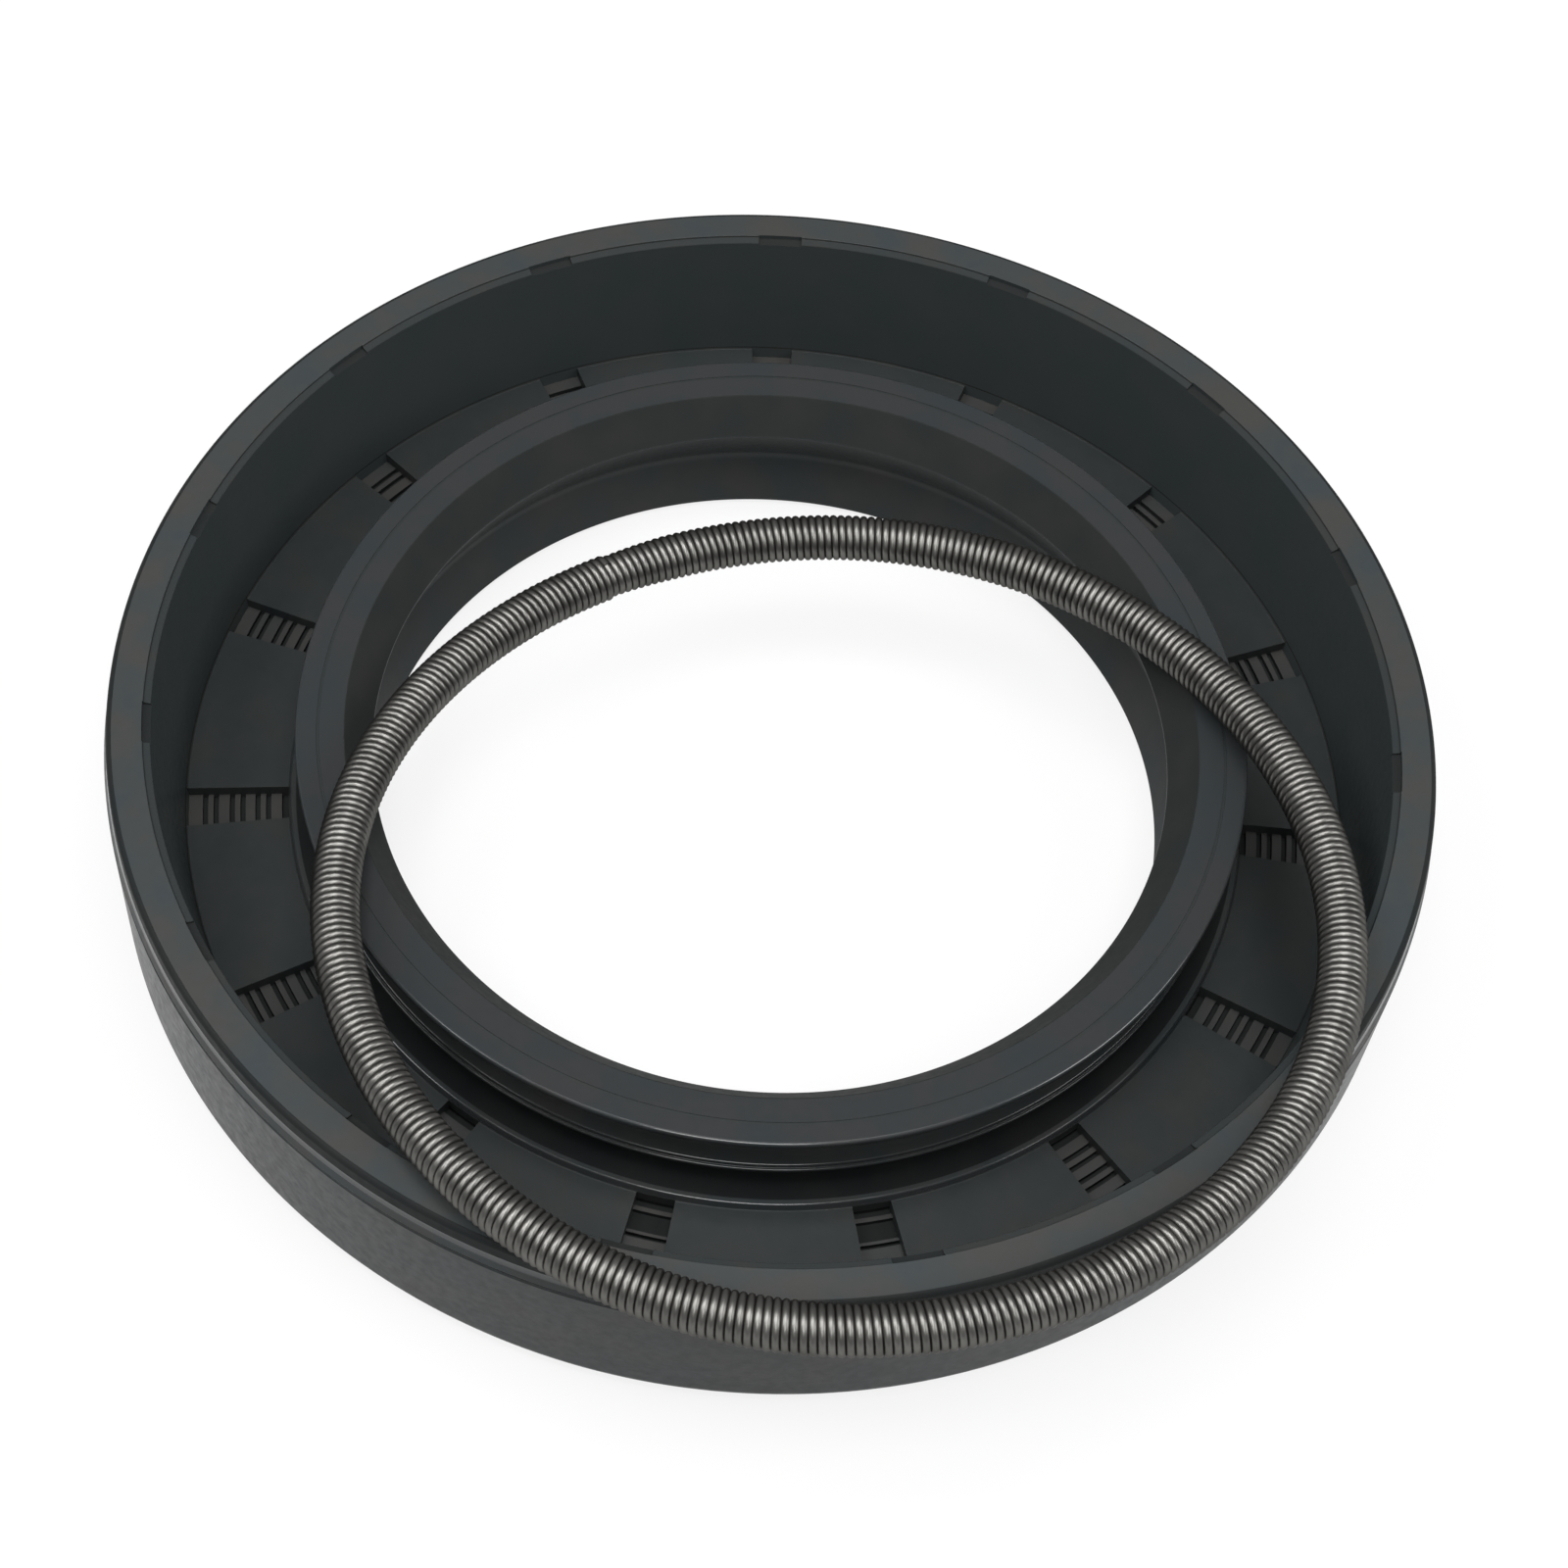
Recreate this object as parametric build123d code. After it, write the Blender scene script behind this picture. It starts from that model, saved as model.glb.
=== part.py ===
from build123d import *
import os
from math import cos, pi, radians, sin, sqrt

# Radial shaft seal: a rubber body with a sealing lip and a dust lip, a steel case
# moulded into it, and the garter spring, taken out of its groove and laid on top.
# Millimetres. The origin is on the shaft's axis at the seating face, and +Z points
# to the oil side, where the spring groove opens.

# ---- Fit sizes -----------------------------------------------------------------
shaft_diameter = 40.0
housing_diameter = 65.0
seal_width = 10.0
lip_interference = 0.24      # the free lip edge is this much smaller than the shaft, on the radius
dust_lip_clearance = 0.04    # the dust lip stands this far off the shaft

# ---- Outer wall ----------------------------------------------------------------
seat_chamfer_depth = 0.5     # lead-in at the seating face, inwards
seat_chamfer_height = 0.9
shoulder_drop = 1.45         # the lead chamfer ends here, below the top land
land_inset = 0.48            # outer edge of the top land, in from the outer wall

# ---- Rim and inner wall --------------------------------------------------------
land_width = 1.75            # the flat ring on top of the rim
foot_inset = 3.3             # foot of the inner wall, in from the outer wall
floor_height = 2.44

# ---- Sealing lip ---------------------------------------------------------------
head_height = 7.75           # top of the lip head above the seating face
contact_height = 5.87        # height of the sealing edge
contact_band = 0.15          # the edge is trimmed to a band of this height
head_top_inset = 1.05        # inner edge of the head's top, out from the shaft
head_reach = 3.49            # outer edge of the head's top, out from the shaft
groove_height = 6.05         # middle of the spring groove
groove_reach = 2.6           # middle of the groove, out from the shaft
groove_clearance = 0.035
ridge_reach = 3.0            # the ridge under the groove, out from the shaft
neck_reach = 2.15            # the thin neck, out from the shaft
neck_top = 4.05
cavity_reach = 1.2           # the corner between the two lips, out from the shaft
cavity_height = 2.85
root_reach = 3.95            # where the lip's root meets the floor, out from the shaft

# ---- Dust lip and the notch behind it ------------------------------------------
dust_tip_height = 0.28
notch_reach = 1.75           # root of the notch, out from the shaft
notch_height = 1.6
notch_mouth = 2.9            # outer edge of the notch in the seating face

# ---- Mould support pockets and wall flutes -------------------------------------
pocket_count = 15
pocket_angle = 4.4           # degrees that each one spans
first_pocket = 21.8          # degrees from +X
pocket_depth = 0.6
flute_depth = 0.1            # how far the flutes stand behind the foot of the inner wall
land_notch = 0.05            # the flutes cut this far into the top land

# ---- Steel case ----------------------------------------------------------------
case_thickness = 0.9
case_outer_cover = 0.9       # rubber outside the case's leg
case_floor_cover = 0.28      # rubber left under the pockets
case_top_cover = 1.0         # rubber above the leg
case_bore_cover = 0.5        # rubber between the case's bore and the notch

# ---- Garter spring -------------------------------------------------------------
coil_diameter = 2.33
wire_diameter = 0.38
ring_slack = 0.65            # the free ring's centreline is this much larger than the groove's
ring_oval = 0.18             # how far the free ring is out of round
ring_oval_turn = 53.7        # degrees from the overhang to the oval's long way
ring_heading = 18.7          # the ring hangs over the rim this far from -Y towards +X
ring_crossing = 62.9         # degrees round the ring from the overhang to where it meets the rim
ring_sag = 0.22              # droop of the free stretches between the rests
ring_warp = 0.25             # twist of the free ring
rest_gap = 0.05              # space left where the spring rests
joint_place = 195.0          # degrees round the ring where its ends are screwed together
joint_turns = 9              # turns that narrow where one end enters the other
joint_step = 0.1             # how much they narrow, on the radius
coil_sides = 4

# ---- Worked out from the sizes above -------------------------------------------
shaft_radius = shaft_diameter / 2
lip_radius = shaft_radius - lip_interference
housing_radius = housing_diameter / 2
land_outer = housing_radius - land_inset
land_inner = land_outer - land_width
foot_radius = housing_radius - foot_inset
coil_radius = coil_diameter / 2
groove_radius = coil_radius + groove_clearance
head_inner = shaft_radius + head_top_inset
head_outer = shaft_radius + head_reach
root_radius = shaft_radius + root_reach
pocket_floor = floor_height - pocket_depth
ring_radius = shaft_radius + groove_reach + ring_slack


def outline(corners):
    """A closed face in the radius-height plane, from corners of (radius, height)."""
    with BuildSketch(Plane.XZ) as face:
        with BuildLine():
            Polyline(*corners, close=True)
        make_face()
    return face.sketch


def body_section():
    """Half section of the rubber, round the seating face, rim, floor, lips and notch."""
    seating_face = [
        (shaft_radius + notch_mouth, 0),
        (housing_radius - seat_chamfer_depth, 0),
        (housing_radius, seat_chamfer_height),
    ]
    outer_wall = [
        (housing_radius, seal_width - shoulder_drop),
        (land_outer, seal_width),
    ]
    inner_wall = [
        (land_inner, seal_width),
        (foot_radius, floor_height),
    ]
    neck = [
        (root_radius, floor_height),
        (shaft_radius + neck_reach, cavity_height),
        (shaft_radius + neck_reach, neck_top),
    ]
    lip = [
        (shaft_radius + ridge_reach, groove_height - groove_radius),
        (head_outer, head_height),
        (head_inner, head_height),
        (lip_radius, contact_height + contact_band / 2),
        (lip_radius, contact_height - contact_band / 2),
        (shaft_radius + cavity_reach, cavity_height),
    ]
    dust_lip = [
        (shaft_radius + dust_lip_clearance, dust_tip_height),
        (shaft_radius + notch_reach, notch_height),
    ]
    section = outline(seating_face + outer_wall + inner_wall + neck + lip + dust_lip)
    return section - groove_section()


def groove_section():
    """The spring's seat in the lip head: a square groove that just takes the coil."""
    middle = shaft_radius + groove_reach
    return outline([
        (middle - groove_radius, groove_height - groove_radius),
        (middle - groove_radius, groove_height + groove_radius),
        (middle + coil_diameter, groove_height + groove_radius),
        (middle + coil_diameter, groove_height - groove_radius),
    ])


def case_section():
    """Half section of the steel case: a flat web with an upright leg."""
    web_top = pocket_floor - case_floor_cover
    web_bottom = web_top - case_thickness
    web_inner = shaft_radius + notch_mouth + case_bore_cover
    leg_outer = housing_radius - case_outer_cover
    leg_inner = leg_outer - case_thickness
    leg_top = seal_width - case_top_cover
    return outline([
        (web_inner, web_bottom),
        (leg_outer, web_bottom),
        (leg_outer, leg_top),
        (leg_inner, leg_top),
        (leg_inner, web_top),
        (web_inner, web_top),
    ])


def pocket_section():
    """What one pocket and its flute take out of the body, in the radius-height plane."""
    above = seal_width + pocket_depth
    return outline([
        (root_radius, above),
        (root_radius, pocket_floor),
        (foot_radius + flute_depth, pocket_floor),
        (land_inner + land_notch, seal_width),
        (land_inner + land_notch, above),
    ])


def pockets():
    """All the pockets with their flutes, evenly round the axis."""
    one = revolve(pocket_section(), axis=Axis.Z, revolution_arc=pocket_angle)
    start = first_pocket - pocket_angle / 2
    pitch = 360 / pocket_count
    return [Rot(Z=start + number * pitch) * one for number in range(pocket_count)]


def make_steel_case():
    return revolve(case_section(), axis=Axis.Z)


def make_rubber_body():
    body = revolve(body_section(), axis=Axis.Z)
    body -= pockets()
    return body - make_steel_case()


def ring_pose():
    """Offset, tilt rise and height that rest the ring on the rim and on the lip head."""
    rim_rest = seal_width + coil_radius + rest_gap
    head_rest = head_height + coil_radius + rest_gap
    rim_cos = cos(radians(ring_crossing))
    rim_sin = sin(radians(ring_crossing))
    rise = 0.0
    for _ in range(12):
        flat = sqrt(ring_radius**2 - rise**2)
        offset = sqrt(land_inner**2 - (ring_radius * rim_sin) ** 2) - flat * rim_cos
        head_cos = (head_inner**2 - offset**2 - ring_radius**2) / (2 * offset * flat)
        rim_droop = -ring_sag * (2 * rim_cos**2 - 1)
        head_droop = -ring_sag * (2 * head_cos**2 - 1)
        rise = (rim_rest - rim_droop - head_rest + head_droop) / (rim_cos - head_cos)
    height = rim_rest - rim_droop - rise * rim_cos
    return offset, rise, height


def ring_point(turn, pose):
    """A point of the spring's centreline, turn radians round the ring from the overhang."""
    offset, rise, height = pose
    oval_turn = 2 * (turn - radians(ring_oval_turn))
    radius = ring_radius + ring_oval * cos(oval_turn)
    forward = offset + radius * cos(turn) * sqrt(1 - (rise / ring_radius) ** 2)
    aside = radius * sin(turn)
    level = 4 * sin(radians(ring_crossing)) ** 2 - 3
    warp = ring_warp * (sin(3 * turn) + level * sin(turn))
    up = height + rise * cos(turn) - ring_sag * cos(2 * turn) + warp
    return Vector(forward, aside, up).rotate(Axis.Z, ring_heading - 90)


def coil_outline(turn, radius, pose):
    """The coil's many-sided section across the centreline, with a corner at its lowest point."""
    step = radians(0.1)
    centre = ring_point(turn, pose)
    along = (ring_point(turn + step, pose) - ring_point(turn - step, pose)).normalized()
    outward = along.cross(Vector(0, 0, 1)).normalized()
    upward = outward.cross(along)
    corners = []
    for side in range(coil_sides):
        angle = 2 * pi * side / coil_sides - pi / 2
        corners.append(centre + outward * (radius * cos(angle)) + upward * (radius * sin(angle)))
    return Wire.make_polygon(corners, close=True)


def make_garter_spring():
    """A closed coil, as a ring with one crest and one valley for each turn of the wire."""
    pose = ring_pose()
    turns = round(2 * pi * ring_radius / wire_diameter)
    wires = []
    for half in range(2 * turns):
        turns_to_joint = turns - half / 2
        narrowing = joint_step * max(0, 1 - turns_to_joint / joint_turns)
        depth = wire_diameter / 2 if half % 2 else 0
        place = radians(joint_place) + pi * half / turns
        wires.append(coil_outline(place, coil_radius - narrowing - depth, pose))
    wires.append(wires[0])
    return Solid.make_loft(wires, ruled=True)


os.makedirs("parts", exist_ok=True)
export_step(make_rubber_body(), "parts/rubber_body.step")
export_step(make_steel_case(), "parts/steel_case.step")
export_step(make_garter_spring(), "parts/garter_spring.step")
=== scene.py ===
import bpy
from math import cos, hypot, inf, pi, radians, sin, sqrt
from mathutils import Matrix, Vector


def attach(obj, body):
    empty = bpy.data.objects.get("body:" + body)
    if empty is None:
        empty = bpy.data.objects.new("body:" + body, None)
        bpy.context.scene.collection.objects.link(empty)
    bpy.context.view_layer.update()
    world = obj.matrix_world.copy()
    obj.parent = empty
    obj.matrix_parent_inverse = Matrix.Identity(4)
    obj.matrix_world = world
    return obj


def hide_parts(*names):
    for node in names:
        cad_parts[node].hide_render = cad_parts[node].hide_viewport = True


# A radial shaft seal with its garter spring lying loose across the top. The rubber body
# is one section, spun into slices with a pocket in each and joined round the axis. The
# spring is a straight close-wound coil, bent into its ring. Pieces are modelled in
# millimetres and shrunk to metres when they are finished.

MM = 0.001

# ---- Outer wall, in millimetres ------------------------------------------------
shaft_radius = 20.0
housing_radius = 32.5
seal_width = 10.0
seat_chamfer_depth = 0.5     # lead-in at the seating face, inwards
seat_chamfer_height = 0.9
parting_height = 8.2         # middle of the groove that the mould's parting line leaves
parting_depth = 0.2
parting_mouth = 0.14         # half the groove's width at the wall
parting_bottom = 0.06        # half its width at the bottom
shoulder_radius = housing_radius - 0.2
shoulder_height = 8.92
land_outer = housing_radius - 0.26

# ---- Rim and inner wall --------------------------------------------------------
land_inner = housing_radius - 2.0
ledge_radius = housing_radius - 2.35     # the sloped ledge is just inside the land
ledge_height = 9.78
ledge_top = 9.9
foot_radius = housing_radius - 3.3
floor_height = 2.44

# ---- Lip, from its root to its edge --------------------------------------------
root_radius = shaft_radius + 4.1
bead_outer = shaft_radius + 3.98         # the small bead round the root
bead_inner = shaft_radius + 3.66
bead_height = 2.8
neck_radius = shaft_radius + 2.15
neck_bottom = 2.85
neck_top = 4.05
ridge_radius = shaft_radius + 3.12       # the ridge under the spring groove
ridge_bottom = 4.45
ridge_top = 4.62
ridge_step = shaft_radius + 2.98         # the narrower step on top of the ridge
groove_middle = shaft_radius + 2.6       # middle of the spring groove
groove_height = 6.05
groove_radius = 1.2
groove_bottom = groove_height - groove_radius
groove_top = groove_height + groove_radius
head_outer = shaft_radius + 3.49
head_under = shaft_radius + 3.41         # the head's outer face where it leaves the groove
head_inner = shaft_radius + 1.05
head_height = 7.75
head_line = shaft_radius + 2.35          # middle of the fine line round the head
head_line_depth = 0.03
head_line_mouth = 0.07                   # half the line's width at the top
head_line_bottom = 0.06                  # half its width at the bottom
lip_radius = shaft_radius - 0.24
contact_height = 5.87
cavity_radius = shaft_radius + 1.2       # the corner between the two lips

# ---- Dust lip and the notch behind it ------------------------------------------
dust_lip_radius = shaft_radius + 0.04
dust_lip_height = 0.28
dust_foot_radius = shaft_radius + 0.24
dust_foot_height = 0.12
notch_radius = shaft_radius + 1.75
notch_height = 1.6
notch_mouth = shaft_radius + 2.9         # outer edge of the notch in the seating face

# ---- Roundings: how far from a corner its curve starts -------------------------
step_rounding = 0.02
head_rounding = 0.04
crisp = 0.05                 # most of the mould's corners
trimmed = 0.06               # the sealing edge, the dust lip and the ridge
bead_rounding = 0.08
mouth_rounding = 0.1
foot_rounding = 0.12
shoulder_rounding = 0.2
neck_rounding = 0.25
land_rounding = 0.27
cavity_rounding = 0.3
groove_rounding = 1.19       # the groove's two corners nearly make a half circle

# ---- Pockets, one in each slice of the body ------------------------------------
pocket_count = 15
pocket_angle = 4.4           # degrees that each one spans
first_pocket = 21.8          # degrees from +X
pocket_floor = 1.84
pad_grooves = (25.15, 25.68, 26.42, 26.95, 27.75, 28.28)     # radii of their middles
pad_groove_width = 0.26
pad_groove_floor = pocket_floor - 0.24
pad_groove_slope = 0.02
inner_gap = 0.38             # width of the first groove, along the lip's root
stepped_pockets = (10, 11)   # these two, counted from the first, have wider grooves
stepped_pad_grooves = ((24.7, 25.72), (25.87, 26.08))        # from and to which radius
wall_clearance = 0.02        # the pockets stay this far off the inner wall
flare_height = 9.66          # the notch that each pocket makes in the ledge
flare_top = 9.76
flare_radius = land_inner + 0.05

# ---- Garter spring -------------------------------------------------------------
coil_radius = 1.165
wire_radius = 0.205
wire_pitch = 0.38            # length of coil that one turn takes up
ring_radius = groove_middle + 0.65       # the free ring is larger than its groove
ring_oval = 0.18             # how far the ring is out of round
ring_oval_turn = 53.7        # degrees from the overhang to the oval's long way
ring_heading = 18.7          # the ring hangs over the rim this far from -Y towards +X
ring_crossing = 62.9         # degrees round the ring from the overhang to where it meets the rim
ring_land = 30.27            # radius at which the ring meets the rim
ring_sag = 0.22              # droop of the free stretches between the rests
ring_warp = 0.25             # twist of the free ring
rest_gap = 0.05              # space left where the spring rests
joint_place = 195.0          # degrees round the ring where its ends are screwed together
joint_turns = 9              # turns that narrow where one end enters the other
joint_step = 0.1             # how much they narrow, on the radius

# ---- Fineness of the meshes ----------------------------------------------------
same_place = 1e-4            # a vertex this close to a corner is that corner
flat_within = 1e-3           # the corners of a slice's end are this close to its plane
merge_distance = 0.001       # neighbouring slices meet this closely
slice_steps = 20
cutter_steps = 8
corner_segments = 4
groove_segments = 12
edge_bevel = 0.04            # bevel on every edge that is still sharp after the pockets
edge_bevel_angle = 50        # degrees, and an edge that turns more counts as sharp
body_smoothing = 34          # degrees, and an edge that turns less looks smooth
spring_smoothing = 60
settling_rounds = 12         # rounds in which the ring's pose is worked out
path_points = 360
wire_sides = 12
wire_steps = 20              # in each turn of the wire

# ---- Where the body's rubber changes, painted shade and light included ---------
ANY = (-inf, inf)
LEVEL = (0.6, inf)           # how far a face looks upwards, as its normal's Z
STEEP = (-inf, 0.6)
SLANTING = (0.15, 0.97)
DOWNWARDS = (-inf, 0)
near = 0.05                  # how far round a place its faces are looked for
hair = 0.02
land_skin = 0.004            # the land's own faces are all this close to its top
shoulder_reach = 0.2         # half the height of the glossy line at the shoulder

# ---- Finishes: least and most roughness ----------------------------------------
POLISHED = (0.10, 0.16)
SMOOTH = (0.18, 0.26)
MOULDED = (0.30, 0.42)
DULL = (0.4, 0.5)
ROUGH = (0.45, 0.55)

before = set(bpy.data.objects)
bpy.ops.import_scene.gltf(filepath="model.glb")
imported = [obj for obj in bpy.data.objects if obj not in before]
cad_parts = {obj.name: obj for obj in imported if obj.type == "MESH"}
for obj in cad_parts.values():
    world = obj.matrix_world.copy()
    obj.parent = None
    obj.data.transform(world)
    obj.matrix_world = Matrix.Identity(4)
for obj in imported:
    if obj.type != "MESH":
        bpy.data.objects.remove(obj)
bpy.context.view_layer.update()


# ---- Modelling helpers ---------------------------------------------------------
def deselect_all():
    bpy.ops.object.select_all(action="DESELECT")


def pick(obj):
    """Makes obj the only selected object and the active one."""
    deselect_all()
    obj.select_set(True)
    bpy.context.view_layer.objects.active = obj


def edit(obj):
    """Picks obj and opens it in edit mode."""
    pick(obj)
    bpy.ops.object.mode_set(mode="EDIT")


def turn_faces_outwards():
    """In edit mode, turns every face outwards and goes back to object mode."""
    bpy.ops.mesh.select_all(action="SELECT")
    bpy.ops.mesh.normals_make_consistent(inside=False)
    bpy.ops.object.mode_set(mode="OBJECT")


def select_where(obj, kind, wanted):
    """In edit mode, selects the vertices (VERT) or faces (FACE) of obj that wanted accepts."""
    bpy.ops.mesh.select_mode(type=kind)
    bpy.ops.mesh.select_all(action="DESELECT")
    bpy.ops.object.mode_set(mode="OBJECT")
    parts = {"VERT": obj.data.vertices, "FACE": obj.data.polygons}[kind]
    for part in parts:
        part.select = wanted(part)
    bpy.ops.object.mode_set(mode="EDIT")


def traced_face(name, corners):
    """A flat face in the XZ plane, traced corner by corner, then rounded at its corners.

    A corner is (radius, height) or (radius, height, rounding)."""
    deselect_all()
    bpy.ops.mesh.primitive_plane_add(size=1, location=(0, 0, 0))
    obj = bpy.context.object
    obj.name = name
    bpy.ops.object.mode_set(mode="EDIT")
    bpy.ops.mesh.select_mode(type="VERT")
    bpy.ops.mesh.select_all(action="SELECT")
    bpy.ops.mesh.merge(type="CENTER")
    places = [Vector((corner[0], 0, corner[1])) for corner in corners]
    bpy.ops.transform.translate(value=places[0])
    for here, place in zip(places, places[1:]):
        bpy.ops.mesh.extrude_vertices_move(TRANSFORM_OT_translate={"value": place - here})
    bpy.ops.mesh.select_all(action="SELECT")
    bpy.ops.mesh.edge_face_add()
    round_corners(obj, corners)
    bpy.ops.object.mode_set(mode="OBJECT")
    return obj


def round_corners(obj, corners):
    """In edit mode, curves the corners that have a rounding, from the smallest rounding up."""
    for rounding in sorted({corner[2] for corner in corners if len(corner) > 2}):
        alike = [corner for corner in corners if corner[2:] == (rounding,)]
        places = [Vector((corner[0], 0, corner[1])) for corner in alike]
        select_where(obj, "VERT", lambda vertex: any(
            (vertex.co - place).length < same_place for place in places))
        segments = groove_segments if rounding == groove_rounding else corner_segments
        bpy.ops.mesh.bevel(
            offset=rounding, offset_type="OFFSET", segments=segments, affect="VERTICES")


def spun(obj, angle, steps):
    """Spins a traced face about Z into a closed slice. With no window, spin turns the other way."""
    edit(obj)
    bpy.ops.mesh.select_all(action="SELECT")
    bpy.ops.mesh.spin(steps=steps, angle=-radians(angle), center=(0, 0, 0), axis=(0, 0, 1))
    turn_faces_outwards()
    return obj


def apply_modifier(obj, kind, **settings):
    pick(obj)
    modifier = obj.modifiers.new(kind.lower(), kind)
    for key, value in settings.items():
        setattr(modifier, key, value)
    bpy.ops.object.modifier_apply(modifier=modifier.name)


def finish_piece(obj, name, material, smooth_angle):
    """Smooths a piece, keeps its flats flat, shrinks it to metres and puts it on the root body."""
    pick(obj)
    obj.name = name
    obj.data.name = name
    bpy.ops.object.shade_smooth_by_angle(angle=radians(smooth_angle))
    apply_modifier(obj, "WEIGHTED_NORMAL", keep_sharp=True, weight=100)
    obj.scale = (MM, MM, MM)
    bpy.ops.object.transform_apply(location=True, rotation=True, scale=True)
    obj.data.materials.clear()
    obj.data.materials.append(material)
    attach(obj, "root")


# ---- Materials -----------------------------------------------------------------
def new_material(name):
    """A material and its shader."""
    material = bpy.data.materials.new(name)
    material.use_nodes = True
    return material, material.node_tree.nodes["Principled BSDF"]


def noise(tree, lumps, detail):
    """Noise on Object coordinates, with so many lumps to a millimetre."""
    place = tree.nodes.new("ShaderNodeTexCoord")
    texture = tree.nodes.new("ShaderNodeTexNoise")
    texture.inputs["Scale"].default_value = lumps / MM
    texture.inputs["Detail"].default_value = detail
    tree.links.new(place.outputs["Object"], texture.inputs["Vector"])
    return texture.outputs["Fac"]


def ramp(tree, source, low, high):
    """Turns a noise into colours, from low to high, each a level of the noise and its colour."""
    colours = tree.nodes.new("ShaderNodeValToRGB")
    for element, (level, colour) in zip(colours.color_ramp.elements, (low, high)):
        element.position = level
        element.color = (*colour, 1)
    tree.links.new(source, colours.inputs["Fac"])
    return colours.outputs["Color"]


def make_rubber(name, cool, warm, roughness=MOULDED, specular=0.11):
    """Moulded rubber whose colour drifts between a cool and a warm black."""
    material, shader = new_material(name)
    tree = material.node_tree
    tint = ramp(tree, noise(tree, lumps=0.35, detail=4), (0.35, cool), (0.65, warm))
    tree.links.new(tint, shader.inputs["Base Color"])
    least, most = [(value, value, value) for value in roughness]
    polish = ramp(tree, noise(tree, lumps=2.2, detail=3), (0.3, least), (0.7, most))
    tree.links.new(polish, shader.inputs["Roughness"])
    bump = tree.nodes.new("ShaderNodeBump")
    bump.inputs["Strength"].default_value = 0.12
    bump.inputs["Distance"].default_value = 0.03 * MM
    tree.links.new(noise(tree, lumps=4.0, detail=3), bump.inputs["Height"])
    tree.links.new(bump.outputs["Normal"], shader.inputs["Normal"])
    shader.inputs["Specular IOR Level"].default_value = specular
    return material


def make_wire():
    """Oiled spring wire, a little lighter in some places than in others."""
    material, shader = new_material("spring_wire")
    tree = material.node_tree
    darker = (0.112, 0.110, 0.104)
    lighter = (0.155, 0.152, 0.144)
    tint = ramp(tree, noise(tree, lumps=0.8, detail=3), (0.35, darker), (0.65, lighter))
    tree.links.new(tint, shader.inputs["Base Color"])
    shader.inputs["Metallic"].default_value = 1.0
    shader.inputs["Roughness"].default_value = 0.38
    shader.inputs["Specular Tint"].default_value = (0.4, 0.4, 0.4, 1)
    return material


def make_plain(name, colour, roughness, metallic=0.0, specular=0.5):
    material, shader = new_material(name)
    shader.inputs["Base Color"].default_value = (*colour, 1)
    shader.inputs["Roughness"].default_value = roughness
    shader.inputs["Metallic"].default_value = metallic
    shader.inputs["Specular IOR Level"].default_value = specular
    return material


def make_lit_floor():
    """A table that glows white, so that shadows on it stay faint."""
    material, shader = new_material("studio_floor")
    shader.inputs["Base Color"].default_value = (0.1, 0.1, 0.1, 1)
    shader.inputs["Roughness"].default_value = 0.9
    shader.inputs["Emission Color"].default_value = (1, 1, 1, 1)
    shader.inputs["Emission Strength"].default_value = 0.8
    return material


# ---- Rubber body ---------------------------------------------------------------
def body_corners():
    """The section's corners, each (radius, height, rounding), round from the seating face."""
    seating_face = [
        (notch_mouth, 0, mouth_rounding),
        (housing_radius - seat_chamfer_depth, 0, foot_rounding),
        (housing_radius, seat_chamfer_height, shoulder_rounding),
    ]
    parting_groove = [
        (housing_radius, parting_height - parting_mouth, crisp),
        (housing_radius - parting_depth, parting_height - parting_bottom),
        (housing_radius - parting_depth, parting_height + parting_bottom),
        (housing_radius, parting_height + parting_mouth, crisp),
    ]
    rim = [
        (shoulder_radius, shoulder_height, shoulder_rounding),
        (land_outer, seal_width, land_rounding),
        (land_inner, seal_width, crisp),
        (land_inner, ledge_top, crisp),
        (ledge_radius, ledge_height, crisp),
    ]
    floor = [
        (foot_radius, floor_height, foot_rounding),
        (root_radius, floor_height, crisp),
    ]
    neck = [
        (bead_outer, bead_height, bead_rounding),
        (bead_inner, bead_height, foot_rounding),
        (neck_radius, neck_bottom, neck_rounding),
        (neck_radius, neck_top, neck_rounding),
    ]
    ridge = [
        (ridge_radius, ridge_bottom, crisp),
        (ridge_radius, ridge_top, trimmed),
        (ridge_step, ridge_top, step_rounding),
        (ridge_step, groove_bottom, bead_rounding),
    ]
    spring_groove = [
        (groove_middle - groove_radius, groove_bottom, groove_rounding),
        (groove_middle - groove_radius, groove_top, groove_rounding),
        (head_under, groove_top, mouth_rounding),
    ]
    head = [
        (head_outer, head_height, shoulder_rounding),
        (head_line + head_line_mouth, head_height),
        (head_line + head_line_bottom, head_height - head_line_depth),
        (head_line - head_line_bottom, head_height - head_line_depth),
        (head_line - head_line_mouth, head_height),
        (head_inner, head_height, head_rounding),
    ]
    lips = [
        (lip_radius, contact_height, trimmed),
        (cavity_radius, neck_bottom, cavity_rounding),
        (dust_lip_radius, dust_lip_height, trimmed),
        (dust_foot_radius, dust_foot_height, crisp),
        (notch_radius, notch_height, neck_rounding),
    ]
    outside = seating_face + parting_groove + rim + floor
    return outside + neck + ridge + spring_groove + head + lips


def ribbed_grooves():
    """The grooves, from and to which radius, that leave a pocket's floor ribbed."""
    half = pad_groove_width / 2
    return [(middle - half, middle + half) for middle in pad_grooves]


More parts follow.
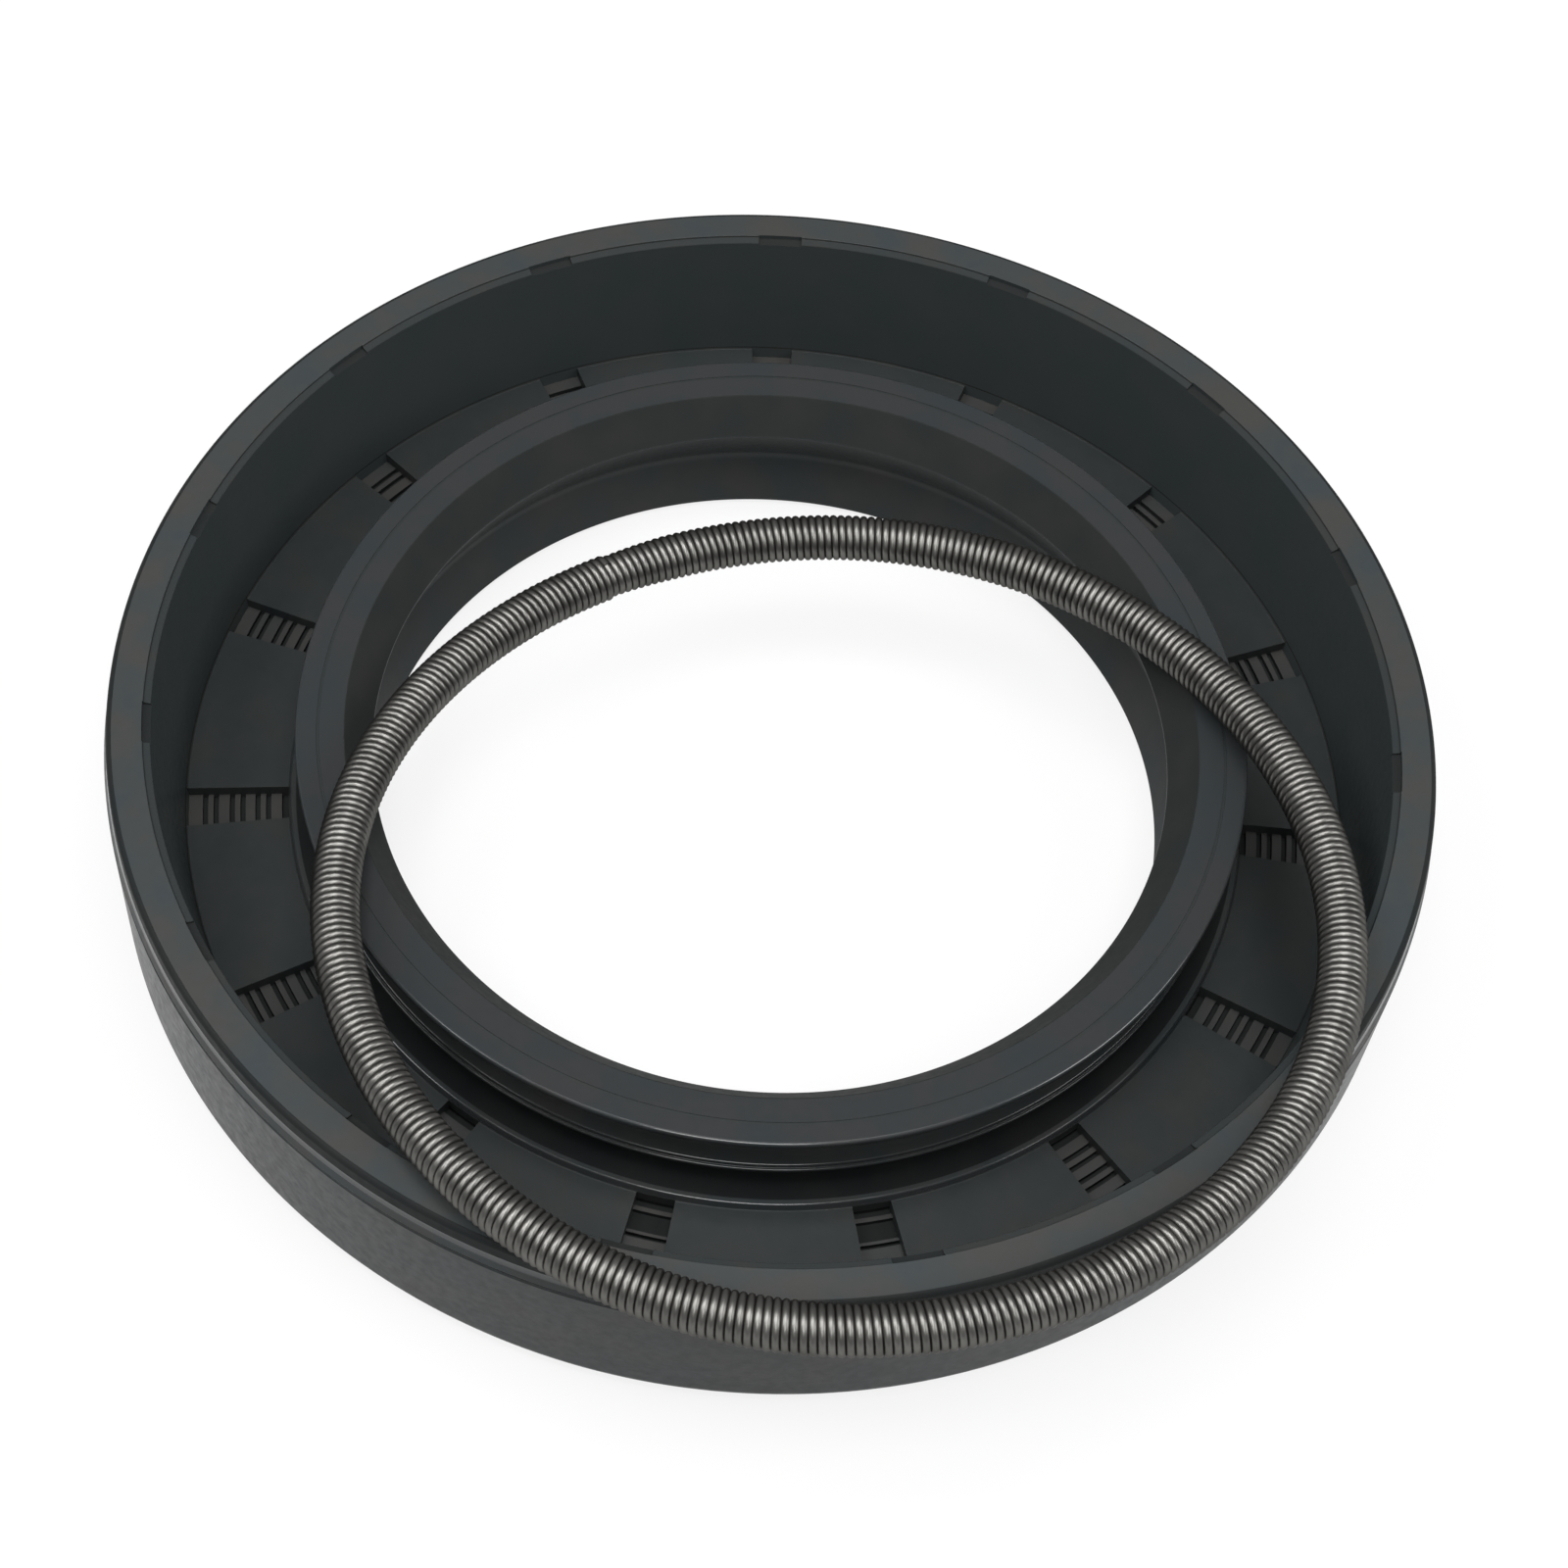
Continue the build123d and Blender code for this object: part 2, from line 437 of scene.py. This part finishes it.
def pocket_corners(grooves):
    """What a pocket takes out: a grooved pad at the foot of the wall, and a notch in the ledge."""
    above = seal_width + 1
    corners = [(root_radius, above)]
    for inner, outer in [(root_radius, root_radius + inner_gap), *grooves]:
        corners += [
            (inner, pocket_floor),
            (inner + pad_groove_slope, pad_groove_floor),
            (outer - pad_groove_slope, pad_groove_floor),
            (outer, pocket_floor),
        ]
    wall_foot = foot_radius - wall_clearance
    lean = (ledge_radius - foot_radius) / (ledge_height - floor_height)
    for height in (pocket_floor, flare_height):
        corners.append((wall_foot + lean * (height - floor_height), height))
    return corners + [(flare_radius, flare_top), (flare_radius, above)]


def make_slice(name, grooves):
    """One pocket's share of the body, open at its two ends."""
    pitch = 360 / pocket_count
    body = spun(traced_face(name, body_corners()), pitch, slice_steps)
    cutter = spun(traced_face("cutter", pocket_corners(grooves)), pocket_angle, cutter_steps)
    cutter.rotation_euler.z = radians((pitch - pocket_angle) / 2)
    bpy.context.view_layer.update()
    apply_modifier(body, "BOOLEAN", object=cutter, operation="DIFFERENCE", solver="EXACT")
    bpy.data.objects.remove(cutter)
    open_ends(body, pitch)
    apply_modifier(body, "BEVEL", width=edge_bevel, segments=2, limit_method="ANGLE",
                   angle_limit=radians(edge_bevel_angle))
    return body


def open_ends(body, pitch):
    """Deletes the two flat ends of the slice."""
    near_end = Vector((0, 1, 0))
    far_end = Vector((-sin(radians(pitch)), cos(radians(pitch)), 0))

    def at_an_end(face):
        corners = [body.data.vertices[number].co for number in face.vertices]
        return any(all(abs(corner.dot(end)) < flat_within for corner in corners)
                   for end in (near_end, far_end))

    edit(body)
    select_where(body, "FACE", at_an_end)
    bpy.ops.mesh.delete(type="FACE")
    bpy.ops.object.mode_set(mode="OBJECT")


def make_body(material):
    """Two kinds of slice are modelled, copied round the axis and joined."""
    pitch = 360 / pocket_count
    ribbed = make_slice("ribbed_slice", ribbed_grooves())
    stepped = make_slice("stepped_slice", stepped_pad_grooves)
    copies = []
    for number in range(pocket_count):
        pattern = stepped if number in stepped_pockets else ribbed
        copy = pattern.copy()
        copy.data = pattern.data.copy()
        copy.rotation_euler.z = radians(number * pitch)
        bpy.context.collection.objects.link(copy)
        copies.append(copy)
    bpy.data.objects.remove(ribbed)
    bpy.data.objects.remove(stepped)
    deselect_all()
    for copy in copies:
        copy.select_set(True)
    body = copies[0]
    bpy.context.view_layer.objects.active = body
    bpy.ops.object.join()
    body.rotation_euler.z = radians(first_pocket - pitch / 2)
    bpy.ops.object.transform_apply(location=True, rotation=True, scale=True)
    edit(body)
    bpy.ops.mesh.select_all(action="SELECT")
    bpy.ops.mesh.remove_doubles(threshold=merge_distance)
    turn_faces_outwards()
    finish_piece(body, "moulded_body", material, body_smoothing)
    paint_body(body)
    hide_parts("rubber_body")


# ---- The body's rubbers, some of them painted shade or painted light -----------
def make_body_rubbers():
    """Each region has its own copy of the rubber, lighter or darker; several copies are painted
    shade or painted light.
    """
    rim_blacks = (0.0262, 0.0318, 0.0342), (0.0335, 0.0334, 0.0314)
    # Painted light: a lighter copy that lifts the shade on the inner wall, the notches' back walls
    # and the pockets' walls.
    wall_lifted_blacks = (0.0258, 0.0320, 0.0332), (0.0298, 0.0340, 0.0340)
    ledge_blacks = (0.0205, 0.0245, 0.0258), (0.0245, 0.0258, 0.0252)
    shoulder_blacks = (0.0210, 0.0248, 0.0262), (0.0248, 0.0256, 0.0262)
    floor_blacks = (0.0158, 0.0192, 0.0200), (0.0192, 0.0210, 0.0208)
    lip_blacks = (0.0195, 0.0232, 0.0248), (0.0232, 0.0238, 0.0245)
    # Painted shade: a darker copy for the ledge's riser, the cone above the sealing edge and the
    # faces under the dust lip.
    shaded_blacks = (0.0170, 0.0190, 0.0191), (0.0200, 0.0208, 0.0203)
    pad_blacks = (0.0248, 0.0262, 0.0262), (0.0305, 0.0298, 0.0284)
    # Near-black painted shade for the neck, which is recessed under the lip head.
    neck_shade_blacks = (0.0060, 0.0070, 0.0075), (0.0080, 0.0085, 0.0085)
    # Painted shade: a darker copy for the rim's chamfer and rounded outer edge, the floors of the
    # ledge's notches and the crease at the wall's foot.
    painted_shade_blacks = (0.0120, 0.0137, 0.0142), (0.0145, 0.0153, 0.0151)
    # Near-black painted shade for the grooves in the pockets' floors.
    groove_shade_black = (0.0120, 0.0128, 0.0128)
    return {
        "rim": make_rubber("rim_rubber", *rim_blacks),
        "wall": make_rubber("wall_lifted_rubber", *wall_lifted_blacks),
        "ledge": make_rubber("ledge_rubber", *ledge_blacks, ROUGH, specular=0.02),
        "shoulder": make_rubber("shoulder_rubber", *shoulder_blacks, SMOOTH, specular=0.45),
        "floor": make_rubber("floor_rubber", *floor_blacks),
        "lip": make_rubber("lip_rubber", *lip_blacks, SMOOTH),
        "edge": make_rubber("edge_rubber", *lip_blacks, POLISHED, specular=0.6),
        "dark": make_rubber("shaded_rubber", *shaded_blacks, ROUGH, specular=0.01),
        "pad": make_rubber("pad_rubber", *pad_blacks),
        "neck": make_rubber("neck_shade_rubber", *neck_shade_blacks, DULL, specular=0.05),
        "trim": make_rubber("painted_shade_rubber", *painted_shade_blacks, DULL, specular=0.03),
        "groove": make_plain("groove_shade_rubber", groove_shade_black, roughness=0.9, specular=0.02),
    }


def around(place, reach=near):
    return place - reach, place + reach


def rim_regions():
    """The land, the shoulder outside it, and the ledge inside it with its notches."""
    under_land = seal_width - land_skin
    over_parting = parting_height + parting_mouth - hair
    under_shoulder, over_shoulder = around(shoulder_height, shoulder_reach)
    return [
        ("rim", ANY, (under_land, inf), ANY),
        # Painted light: the land's lighter rubber on the band between the parting groove and the
        # shoulder, for the light band there.
        ("rim", (shoulder_radius, inf), (over_parting, under_shoulder), ANY),
        ("shoulder", (land_outer, inf), (under_shoulder, over_shoulder), ANY),
        # Painted shade along the chamfer and the rounded edge outside the land.
        ("trim", (land_outer - land_rounding, inf), (over_shoulder, under_land), ANY),
        ("ledge", (ledge_radius, land_inner), (ledge_height - near, ledge_top), LEVEL),
        # Painted shade on the ledge's steep riser.
        ("dark", around(land_inner), (ledge_height, under_land), STEEP),
        # Painted light: lifts the shade on the back wall of each notch.
        ("wall", around(flare_radius, hair), (flare_top, under_land), STEEP),
        # Painted shade on the floor of each notch in the ledge.
        ("trim", (ledge_radius + hair, land_inner), (flare_height, flare_top), ANY),
    ]


def wall_regions():
    """The inner wall, the floor at its foot and the line of painted shade in the crease between
    them.
    """
    line_top = floor_height + 2 * near
    return [
        # Painted light: the inner wall gets the lighter copy to lift its shade.
        ("wall", (foot_radius + near, ledge_radius - near), (line_top, inf), ANY),
        ("floor", (root_radius, foot_radius), around(floor_height), ANY),
        # Painted shade in the crease between the floor and the wall.
        ("trim", around(foot_radius, 2 * near), (floor_height, line_top), SLANTING),
    ]


def lip_regions():
    """The head with its fine line, the shiny edges, the neck, and the bore down to the notch."""
    head_line_bed = around(head_height - head_line_depth, hair)
    bead_foot = floor_height + 2 * near
    under_dust_lip = dust_lip_height + near, notch_height
    return [
        ("lip", (head_inner + near, head_outer + near), (groove_top - near, inf), ANY),
        # Painted shade in the fine line round the head, with the floor's darker rubber.
        ("floor", around(head_line, head_line_mouth), head_line_bed, ANY),
        ("edge", around(head_outer, 2 * near), (head_height - 2 * near, inf), SLANTING),
        ("edge", (ridge_step - near, ridge_radius), (ridge_bottom + near, groove_bottom), SLANTING),
        ("edge", (bead_outer - near, root_radius), (bead_foot, bead_height), SLANTING),
        # Painted shade: the neck under the head is painted near-black.
        ("neck", (neck_radius - near, bead_inner + near), (bead_height, ridge_bottom + near), ANY),
        # Painted shade on the cone above the sealing edge.
        ("dark", (lip_radius, head_inner + near), (contact_height + 2 * near, inf), ANY),
        # Painted shade: the floor's darker rubber on the cone below the sealing edge.
        ("floor", (shaft_radius, cavity_radius), (neck_bottom + near, contact_height), ANY),
        # Painted shade on the faces under the dust lip.
        ("dark", (dust_lip_radius, cavity_radius), under_dust_lip, DOWNWARDS),
    ]


def pocket_regions():
    """The grooves painted near-black as shade, the pads between them and the wall behind them."""
    bed = root_radius, foot_radius
    return [
        ("groove", bed, (pad_groove_floor - near, pocket_floor - hair), ANY),
        ("pad", bed, around(pocket_floor), LEVEL),
        # Painted light: lifts the shade on the wall behind the pads.
        ("wall", around(foot_radius, 2 * near), (pocket_floor + near, floor_height), STEEP),
    ]


def paint(body, material, ranges):
    """Gives a material to the faces whose middle and normal are inside all three ranges."""
    slots = body.data.materials
    if material.name not in slots:
        slots.append(material)
    number = slots.find(material.name)
    for face in body.data.polygons:
        middle = face.center / MM
        measures = hypot(middle.x, middle.y), middle.z, face.normal.z
        if all(low < measure < high for measure, (low, high) in zip(measures, ranges)):
            face.material_index = number


def paint_body(body):
    """Each region is its rubber, then its ranges of radius, height and upward look.

    Where two regions overlap, the later one stays."""
    rubbers = make_body_rubbers()
    for rubber, *ranges in rim_regions() + wall_regions() + lip_regions() + pocket_regions():
        paint(body, rubbers[rubber], ranges)


# ---- Garter spring -------------------------------------------------------------
def ring_pose():
    """Offset, tilt rise and height that rest the ring on the rim and on the lip head."""
    rim_rest = seal_width + coil_radius + rest_gap
    head_rest = head_height + coil_radius + rest_gap
    rim_cos = cos(radians(ring_crossing))
    rim_sin = sin(radians(ring_crossing))
    rise = 0.0
    for _ in range(settling_rounds):
        flat = sqrt(ring_radius**2 - rise**2)
        offset = sqrt(ring_land**2 - (ring_radius * rim_sin) ** 2) - flat * rim_cos
        head_cos = (head_inner**2 - offset**2 - ring_radius**2) / (2 * offset * flat)
        rim_droop = -ring_sag * (2 * rim_cos**2 - 1)
        head_droop = -ring_sag * (2 * head_cos**2 - 1)
        rise = (rim_rest - rim_droop - head_rest + head_droop) / (rim_cos - head_cos)
    return offset, rise, rim_rest - rim_droop - rise * rim_cos


def ring_point(turn, pose):
    """A point of the spring's centreline, turn radians round the ring from the overhang."""
    offset, rise, height = pose
    radius = ring_radius + ring_oval * cos(2 * (turn - radians(ring_oval_turn)))
    forward = offset + radius * cos(turn) * sqrt(1 - (rise / ring_radius) ** 2)
    aside = radius * sin(turn)
    level = 4 * sin(radians(ring_crossing)) ** 2 - 3
    warp = ring_warp * (sin(3 * turn) + level * sin(turn))
    up = height + rise * cos(turn) - ring_sag * cos(2 * turn) + warp
    heading = radians(ring_heading - 90)
    return Vector((
        forward * cos(heading) - aside * sin(heading),
        forward * sin(heading) + aside * cos(heading),
        up,
    ))


def make_ring_path():
    """The ring's centreline as a closed curve that starts at the joint, and its length."""
    pose = ring_pose()
    start = radians(joint_place)
    points = [ring_point(start + 2 * pi * n / path_points, pose) for n in range(path_points)]
    curve = bpy.data.curves.new("ring_path", "CURVE")
    curve.dimensions = "3D"
    curve.twist_mode = "Z_UP"
    spline = curve.splines.new("POLY")
    spline.points.add(path_points - 1)
    for point, place in zip(spline.points, points):
        point.co = (*place, 1)
    spline.use_cyclic_u = True
    path = bpy.data.objects.new("ring_path", curve)
    bpy.context.collection.objects.link(path)
    length = sum((points[n] - points[n - 1]).length for n in range(path_points))
    return path, length


def make_straight_coil(turns, pitch):
    """The wire's round section, wound along X."""
    deselect_all()
    bpy.ops.mesh.primitive_circle_add(
        vertices=wire_sides, radius=wire_radius,
        location=(0, 0, coil_radius - wire_radius), rotation=(pi / 2, 0, 0))
    coil = bpy.context.object
    bpy.ops.object.transform_apply(location=True, rotation=True, scale=True)
    apply_modifier(coil, "SCREW", axis="X", angle=2 * pi, iterations=turns, screw_offset=pitch,
                   steps=wire_steps, render_steps=wire_steps)
    return coil


def narrow_last_turns(coil, turns, pitch):
    """The coil's last turns narrow, to enter its other end."""
    for vertex in coil.data.vertices:
        turns_left = turns - vertex.co.x / pitch
        narrowing = 1 - joint_step / coil_radius * max(0, 1 - turns_left / joint_turns)
        vertex.co.y *= narrowing
        vertex.co.z *= narrowing


def cap_wire(coil):
    """Closes the wire's two cut ends."""
    edit(coil)
    bpy.ops.mesh.select_all(action="DESELECT")
    bpy.ops.mesh.select_mode(type="EDGE")
    bpy.ops.mesh.select_non_manifold()
    bpy.ops.mesh.edge_face_add()
    turn_faces_outwards()


def make_spring(material):
    """A straight close-wound coil, narrowed where its ends meet and bent into the ring."""
    path, length = make_ring_path()
    turns = round(length / wire_pitch)
    pitch = length / turns
    spring = make_straight_coil(turns, pitch)
    narrow_last_turns(spring, turns, pitch)
    cap_wire(spring)
    apply_modifier(spring, "CURVE", object=path, deform_axis="POS_X")
    bpy.data.objects.remove(path)
    finish_piece(spring, "garter_coil", material, spring_smoothing)
    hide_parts("garter_spring")


# ---- Floor, lights and camera --------------------------------------------------
def make_floor(material, size, drop):
    """A square table, a hair below the seating face so that the two never share a plane."""
    deselect_all()
    bpy.ops.mesh.primitive_plane_add(size=size, location=(0, 0, -drop))
    floor = bpy.context.object
    floor.name = "floor"
    floor.data.materials.append(material)


def make_world(strength):
    world = bpy.data.worlds.new("studio")
    bpy.context.scene.world = world
    world.use_nodes = True
    background = world.node_tree.nodes["Background"]
    background.inputs["Color"].default_value = (1, 1, 1, 1)
    background.inputs["Strength"].default_value = strength


def softbox(name, place, size, watts):
    """A square area light that faces the seal."""
    deselect_all()
    bpy.ops.object.light_add(type="AREA", location=place)
    light = bpy.context.object
    light.name = name
    light.data.size = size
    light.data.energy = watts
    light.rotation_euler = Vector(place).to_track_quat("Z", "Y").to_euler()


def make_camera():
    """Looks along +Y and down at the seal, rolled a little.

    The seal's centre lies aside, below and ahead of the camera."""
    elevation = radians(55.92)
    roll = radians(5.42)
    aside = 0.0320 * housing_radius * MM
    below = 0.0347 * housing_radius * MM
    ahead = 4.782 * housing_radius * MM
    focal_pixels = 3084
    frame_pixels = 1600
    level = Vector((1, 0, 0))
    forward = Vector((0, cos(elevation), -sin(elevation)))
    down = Vector((0, -sin(elevation), -cos(elevation)))
    rightward = level * cos(roll) - down * sin(roll)
    downward = level * sin(roll) + down * cos(roll)
    place = -(rightward * aside + downward * below + forward * ahead)
    camera = bpy.data.objects.new("camera", bpy.data.cameras.new("camera"))
    bpy.context.collection.objects.link(camera)
    axes = Matrix((rightward, -downward, -forward)).transposed()
    camera.matrix_world = Matrix.Translation(place) @ axes.to_4x4()
    camera.data.sensor_width = 36
    camera.data.lens = focal_pixels / frame_pixels * camera.data.sensor_width
    camera.data.shift_x = 0.025
    camera.data.clip_start = 0.01
    bpy.context.scene.camera = camera


rubber = make_rubber("black_rubber", (0.0185, 0.0225, 0.0240), (0.0235, 0.0243, 0.0235))
wire = make_wire()
steel = make_plain("case_steel", (0.45, 0.45, 0.44), roughness=0.4, metallic=1.0)
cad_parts["steel_case"].data.materials.clear()
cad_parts["steel_case"].data.materials.append(steel)
make_body(rubber)
make_spring(wire)
make_floor(make_lit_floor(), size=3, drop=0.02 * MM)
make_world(strength=0.35)
softbox("front_top", place=(0.0, -0.30, 0.46), size=0.2, watts=1.1)
softbox("overhead", place=(0.0, 0.0, 0.55), size=0.3, watts=2.5)
softbox("right", place=(0.37, -0.06, 0.30), size=0.25, watts=1.15)
softbox("left", place=(-0.32, -0.04, 0.42), size=0.25, watts=1.5)
make_camera()
bpy.context.scene.view_settings.view_transform = "Standard"
